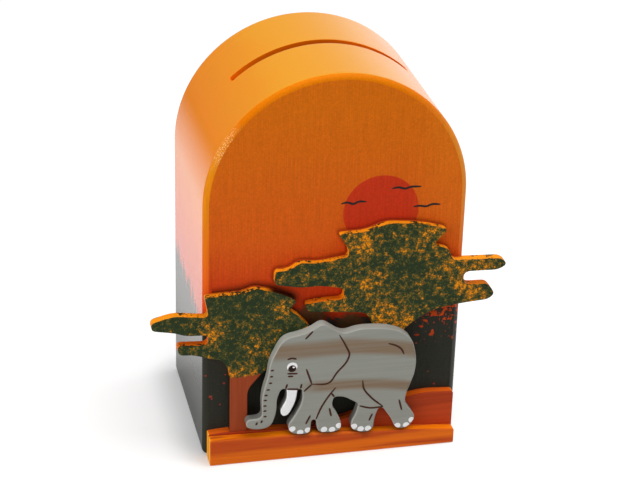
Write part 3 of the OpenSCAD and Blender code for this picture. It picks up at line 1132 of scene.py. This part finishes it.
def makeStrokes(name, lines, width, paint, slot):
    points, edges = [], []
    for line in lines:
        edges += [(len(points) + i, len(points) + i + 1) for i in range(len(line) - 1)]
        points += line
    drawing = bpy.data.meshes.new(name + "Path")
    drawing.from_pydata(points, edges, [])
    drawn = bpy.data.objects.new(name + "Path", drawing)
    scene.collection.objects.link(drawn)
    modifier = drawn.modifiers.new("stroke", "NODES")
    modifier.node_group = brushStroke
    sockets = {item.name: item.identifier for item in brushStroke.interface.items_tree
               if item.in_out == "INPUT"}
    modifier[sockets["Width"]] = width
    modifier[sockets["Flatness"]] = strokeShape["flatness"]
    modifier[sockets["Paint"]] = paint
    mesh = bpy.data.meshes.new_from_object(drawn.evaluated_get(bpy.context.evaluated_depsgraph_get()))
    bpy.data.objects.remove(drawn)
    mesh.name = name
    if "spine" in mesh.attributes:
        mesh.attributes.remove(mesh.attributes["spine"])
    piece = bpy.data.objects.new(name, mesh)
    scene.collection.objects.link(piece)
    mesh.shade_smooth()
    place(piece, slot)
    print(name, len(lines), "strokes,", len(mesh.polygons), "faces")
    return piece


elephantLines = {
    "width": 0.9 * mm,
    "ear": [(0.8, 60.8), (3.9, 55.0), (5.6, 50.3), (4.6, 47.4), (0.3, 42.0), (-3.0, 37.3), (-10.8, 37.2)],
    "earFold": [(-13.5, 45.2), (-10.8, 37.2)],
    "cheek": [(-10.8, 37.2), (-14.4, 33.9)],
    "earTop": [(-11.0, 63.7), (-14.3, 60.1)],
    "hip": [(23.0, 54.4), (26.3, 53.2), (29.0, 51.1), (30.4, 48.3)],
    "hindLeg": [(12.1, 36.9), (12.7, 32.9), (15.8, 28.3), (22.0, 22.4)],
    "belly": [(22.0, 22.4), (16.0, 22.4), (10.7, 24.1)],
    "foreLeg": [(0.0, 34.5), (-2.0, 31.9), (-6.1, 25.2), (-8.5, 19.1)],
    "elbow": [(-2.0, 31.9), (-0.2, 29.4)],
    "ankles": [[(-11.1, 21.4), (-13.1, 17.0)], [(-2.6, 24.2), (-1.6, 19.9)], [(17.2, 19.3), (15.8, 15.8)],
               [(29.2, 25.3), (30.7, 19.7)]],
    "tuskRoot": [[(-21.8, 38.5), (-22.5, 36.1)], [(-15.4, 37.9), (-15.9, 35.2)],
                 [(-22.2, 35.9), (-15.7, 35.2)]],
    "brow": [(-22.0, 50.7), (-20.2, 51.2), (-17.9, 50.6)],
    "eyeFolds": [[(-22.0, 43.7), (-17.3, 43.3)], [(-21.7, 42.3), (-19.2, 42.1)]],
    "trunk": [(-28.6, 46.0), (-28.9, 42.9), (-29.3, 39.7), (-30.3, 36.4), (-31.2, 33.7), (-31.5, 31.2),
              (-31.6, 28.4), (-31.6, 25.8), (-31.5, 23.0)],  # middles of the short wrinkles down the trunk
    "wrinkle": 1.5,
    "nostrils": [[(-35.5, 18.9), (-34.9, 20.4)], [(-33.3, 19.8), (-32.7, 21.2)]],
}


def elephantStrokes(lines):
    single = ("ear", "earFold", "cheek", "earTop", "hip", "hindLeg", "belly", "foreLeg", "elbow", "brow")
    drawn = [lines[name] for name in single]
    drawn += lines["ankles"] + lines["tuskRoot"] + lines["eyeFolds"] + lines["nostrils"]
    half = lines["wrinkle"] / 2
    drawn += [[(x - half, z - 0.1), (x, z), (x + half, z - 0.1)] for x, z in lines["trunk"]]
    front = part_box("elephant")[0].y
    strokes = []
    for line in drawn:
        flat = evenLine(onFront(line), strokeShape["step"])
        sink = sinkAt(edgeDistance(flat, elephantLoop), elephantShape["rounding"])
        strokes.append([(x, front + s, z) for (x, z), s in zip(flat, sink)])
    return strokes


def evenLine(line, step):  # a smooth line through a few points
    lengths = np.r_[0, np.cumsum(np.hypot(*np.diff(line, axis=0).T))]
    count = max(2, int(lengths[-1] / step))
    marks = np.linspace(0, lengths[-1], count + 1)
    slopes = np.gradient(line, lengths, axis=0)
    made = []
    for mark in marks:
        i = min(int(np.searchsorted(lengths, mark, "right")) - 1, len(line) - 2)
        span = lengths[i + 1] - lengths[i]
        t = (mark - lengths[i]) / span
        a, b = 2 * t ** 3 - 3 * t ** 2 + 1, t ** 3 - 2 * t ** 2 + t
        c, d = -2 * t ** 3 + 3 * t ** 2, t ** 3 - t ** 2
        made.append(a * line[i] + b * span * slopes[i] + c * line[i + 1] + d * span * slopes[i + 1])
    return np.array(made)


makeStrokes("elephantLines", elephantStrokes(elephantLines), elephantLines["width"], brownLine,
            "elephant_paint")

birds = {
    "width": 1.0 * mm,
    "wings": [[(23.8, 124.8), (26.8, 125.2), (29.6, 124.4), (31.9, 125.0), (36.7, 124.9)],
              [(1.7, 119.3), (4.3, 119.8), (7.1, 118.9), (9.4, 119.8), (12.8, 119.5)],
              [(33.8, 115.6), (36.4, 115.8), (39.1, 115.3), (42.0, 116.1), (45.7, 115.8)]],
}
birdLines = [[(x, panelLow.y, z) for x, z in evenLine(onFront(wing), strokeShape["step"])]
             for wing in birds["wings"]]
makeStrokes("birds", birdLines, birds["width"], blackLine, "painted_box")

eye = {
    "eyeWhite": {"middle": (-19.8, 46.95), "half": (2.35, 2.15), "rise": 0.10, "paint": whitePaint},
    "eyeIris": {"middle": (-19.8, 46.2), "half": (1.95, 1.9), "rise": 0.18, "paint": irisPaint},
    "eyePupil": {"middle": (-19.9, 46.0), "half": (1.6, 1.4), "rise": 0.22, "paint": pupilPaint},
    "eyeGlint": {"middle": (-19.2, 46.7), "half": (0.7, 0.5), "rise": 0.30, "paint": whitePaint},
}


def makeDabs(name, dabs, front, paint, slot):  # low domes of thick paint on a flat face
    rings, sides = 5, 32
    points, faces = [], []
    for dab in dabs:
        start = len(points)
        x, z = dab["middle"]
        points.append((bodyX + x * mm, front - dab["rise"] * mm, z * mm))
        for ring in range(1, rings + 1):
            share = ring / rings
            y = front - dab["rise"] * mm * (1 - share ** 4)
            for side in range(sides):
                turn = 2 * math.pi * side / sides
                reach = share * (1 + dab.get("ragged", 0) * math.sin(3 * turn + x) * math.cos(2 * turn + z))
                points.append((bodyX + (x + dab["half"][0] * reach * math.cos(turn)) * mm, y,
                               (z + dab["half"][1] * reach * math.sin(turn)) * mm))
        faces += [(start, start + 1 + side, start + 1 + (side + 1) % sides) for side in range(sides)]
        for ring in range(rings - 1):
            a, b = start + 1 + ring * sides, start + 1 + (ring + 1) * sides
            for side in range(sides):
                other = (side + 1) % sides
                faces.append((a + side, b + side, b + other, a + other))
        rim = start + 1 + (rings - 1) * sides
        faces.append(tuple(reversed(range(rim, rim + sides))))
    piece = newPiece(name, points, faces, [paint])
    smooth(piece)
    place(piece, slot)


for name, dab in eye.items():
    makeDabs(name, [dab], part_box("elephant")[0].y, dab["paint"], "elephant_paint")

# Red specks on the dark paint: x, height and radius
emberSpecks = [(-56.4, 41.1, 0.5), (-47.6, 40.6, 0.4), (-48.2, 36.5, 0.6), (-54.1, 30.3, 0.75),
               (-53.6, 28.9, 0.45), (-49.9, 25.7, 0.4), (38.3, 48.2, 0.5), (47.7, 26.4, 0.5),
               (44.6, 33.0, 0.35)]
specks = [{"middle": (x, z), "half": (radius, 0.8 * radius), "rise": 0.04, "ragged": 0.5}
          for x, z, radius in emberSpecks]
makeDabs("emberSpecks", specks, panelLow.y, emberPaint, "painted_box")
print("scene painted")


# Base and bung

bungShape = {"softening": 0.5 * mm}


def makeBung(node):
    mesh = bmesh.new()
    mesh.from_mesh(nodes[node].data)
    bmesh.ops.remove_doubles(mesh, verts=mesh.verts, dist=weld)
    bmesh.ops.dissolve_limit(mesh, angle_limit=math.radians(1), verts=mesh.verts, edges=mesh.edges)
    # Only outer corners are softened, because a filled inside corner would cut into the base board
    sharp = [e for e in mesh.edges if e.calc_face_angle(0) > math.radians(40) and e.is_convex]
    bmesh.ops.bevel(mesh, geom=sharp, offset=bungShape["softening"], segments=3, profile=0.5, affect="EDGES",
                    clamp_overlap=True)
    data = bpy.data.meshes.new("rubberBung")
    mesh.to_mesh(data)
    mesh.free()
    data.materials.append(bungRubber)
    piece = bpy.data.objects.new("rubberBung", data)
    scene.collection.objects.link(piece)
    smooth(piece, 30)
    place(piece, "bung_rubber", node, body="bung")


makeBung("bung")
for node, wood in (("base_board", boardWood), ("frame_dowels", dowelWood)):
    data = nodes[node].data
    data.materials.clear()
    data.materials.append(wood)
print("base made")


# Floor and surroundings

floorLook = {
    "color": (0.70, 0.70, 0.70),
    "glow": 0.46,
    "farGlow": 1.0,
    "half": 1.3,
    "drop": 0.0002,
    "inset": 0.004,  # the floor is clear under the box, this far in from its walls
    "shadow": 0.24,  # taken off the glow along the foot of the left wall
    "shadowWidth": 0.018,
    "mirrorNear": (0.03, 0.10),  # reflections show the glow from here on
    "mirrorFar": (0.25, 1.05),  # and the floor on the left fades out of them here
}
skyLook = {"light": 0.29, "shown": 1.0, "overhead": 0.12, "card": 1.2}


def shownRays(tree):  # 1 for rays that the viewer sees straight or in a reflection
    rays = addNode(tree, "ShaderNodeLightPath").outputs
    seen = calc(tree, "MAXIMUM", rays["Is Camera Ray"], rays["Is Glossy Ray"])
    return calc(tree, "MAXIMUM", seen, rays["Is Transmission Ray"])


def footShade(tree, spot, width):  # 1 along the foot of the left wall, 0 a shadow's width from it
    axes = axesOf(tree, spot)
    middle = (panelLow.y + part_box("back_panel")[1].y) / 2
    beside = gapTo(tree, axes["X"], bodyX - archR)
    along = gapTo(tree, axes["Y"], middle)
    past = calc(tree, "MAXIMUM", minus(tree, along, middle - panelLow.y), 0.0)
    return ease(tree, calc(tree, "ADD", beside, past), width, 0.0)


def underBox(tree, spot, inset):  # 1 on the floor that the box hides, which lets light reach its underside
    axes = axesOf(tree, spot)
    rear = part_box("back_panel")[1].y
    beside = gapTo(tree, axes["X"], bodyX)
    along = gapTo(tree, axes["Y"], (panelLow.y + rear) / 2)
    within = calc(tree, "LESS_THAN", beside, archR - inset)
    return times(tree, within, calc(tree, "LESS_THAN", along, (rear - panelLow.y) / 2 - inset))


def addFloor(look):
    half, z = look["half"], -look["drop"]
    floor = newPiece("floor", [(-half, -half, z), (half, -half, z), (half, half, z), (-half, half, z)],
                     [(0, 1, 2, 3)], [])
    material = bpy.data.materials.new("paleFloor")
    material.use_nodes = True
    tree = material.node_tree
    tree.nodes.clear()
    spot = addNode(tree, "ShaderNodeTexCoord").outputs["Object"]
    reach = vectorCalc(tree, "LENGTH", spot, result=1)
    rays = addNode(tree, "ShaderNodeLightPath").outputs
    left = ease(tree, axesOf(tree, spot)["X"], 0.1, -0.1)
    faded = times(tree, left, ease(tree, reach, *look["mirrorFar"]))
    faded = times(tree, rays["Is Glossy Ray"], faded)
    color = blend(tree, faded, look["color"], (0, 0, 0))
    matte = addNode(tree, "ShaderNodeBsdfDiffuse", {"Color": color}).outputs[0]
    far = ease(tree, reach, 0.35 * half, half)
    bright = mulAdd(tree, far, look["farGlow"] - look["glow"], look["glow"])
    bright = mulAdd(tree, footShade(tree, spot, look["shadowWidth"]), -look["shadow"], bright)
    beside = times(tree, rays["Is Glossy Ray"], ease(tree, reach, *reversed(look["mirrorNear"])))
    unseen = calc(tree, "ADD", faded, beside, clamp=True)
    strength = times(tree, bright, minus(tree, 1.0, unseen))
    strength = times(tree, shownRays(tree), strength)
    glow = addNode(tree, "ShaderNodeEmission", {"Strength": strength}).outputs[0]
    lit = addNode(tree, "ShaderNodeAddShader", {0: matte, 1: glow}).outputs[0]
    below = addNode(tree, "ShaderNodeNewGeometry").outputs["Backfacing"]
    seeThrough = calc(tree, "MAXIMUM", below, underBox(tree, spot, look["inset"]))
    clear = addNode(tree, "ShaderNodeBsdfTransparent").outputs[0]
    mixed = addNode(tree, "ShaderNodeMixShader", {0: seeThrough, 1: lit, 2: clear}).outputs[0]
    addNode(tree, "ShaderNodeOutputMaterial", {"Surface": mixed})
    floor.data.materials.append(material)


def addSky(look):
    world = bpy.data.worlds.new("studio")
    world.use_nodes = True
    tree = world.node_tree
    tree.nodes.clear()
    rays = addNode(tree, "ShaderNodeLightPath").outputs
    way = addNode(tree, "ShaderNodeTexCoord").outputs["Generated"]
    axes = axesOf(tree, way)
    mirrored = ease(tree, axes["Z"], -0.28, -0.06)
    mirrored = times(tree, mirrored, minus(tree, 1.0, rays["Is Camera Ray"]))
    card = times(tree, ease(tree, axes["X"], -0.3, 0.5), ease(tree, axes["Z"], 0.6, 0.02))
    above = mulAdd(tree, card, look["card"] - look["overhead"], look["overhead"] - look["shown"])
    shown = mulAdd(tree, mirrored, above, look["shown"] - look["light"])
    strength = mulAdd(tree, shownRays(tree), shown, look["light"])
    sky = addNode(tree, "ShaderNodeBackground", {"Color": (1, 1, 1, 1), "Strength": strength}).outputs[0]
    addNode(tree, "ShaderNodeOutputWorld", {"Surface": sky})
    scene.world = world


addCamera(cameraPlace)
addSoftboxes(softboxes)
addFloor(floorLook)
addSky(skyLook)
print("studio made")
